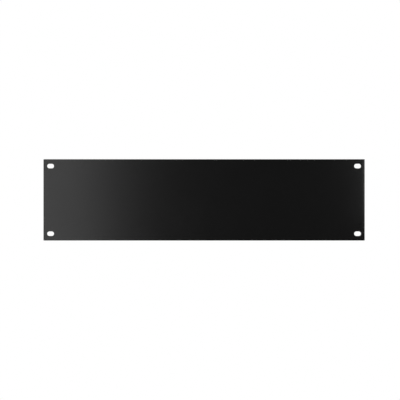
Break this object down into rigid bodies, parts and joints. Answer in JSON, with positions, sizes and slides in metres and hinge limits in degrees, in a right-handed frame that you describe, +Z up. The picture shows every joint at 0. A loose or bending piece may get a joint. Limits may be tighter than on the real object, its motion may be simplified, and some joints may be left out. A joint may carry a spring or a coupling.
{
  "type": "rack blanking panel",
  "caption": "Flat rectangular black steel panel that closes off unused height at the front of a 19-inch rack, with a horizontal screw slot near each corner.",
  "frame": {"origin": "centre of the pattern of screw slots, on the rear face that lies on the rack's rails", "axes": "+X runs across the rack, towards the right as seen from the front; +Y runs from the front face through the sheet into the rack; +Z is up the rack"},
  "size_m": [0.4826, 0.002, 0.1222],
  "materials": {
    "black_powder_coat": "satin"
  },
  "bodies": {
    "root": {"blanking_panel": "black_powder_coat"}
  },
  "joints": []
}
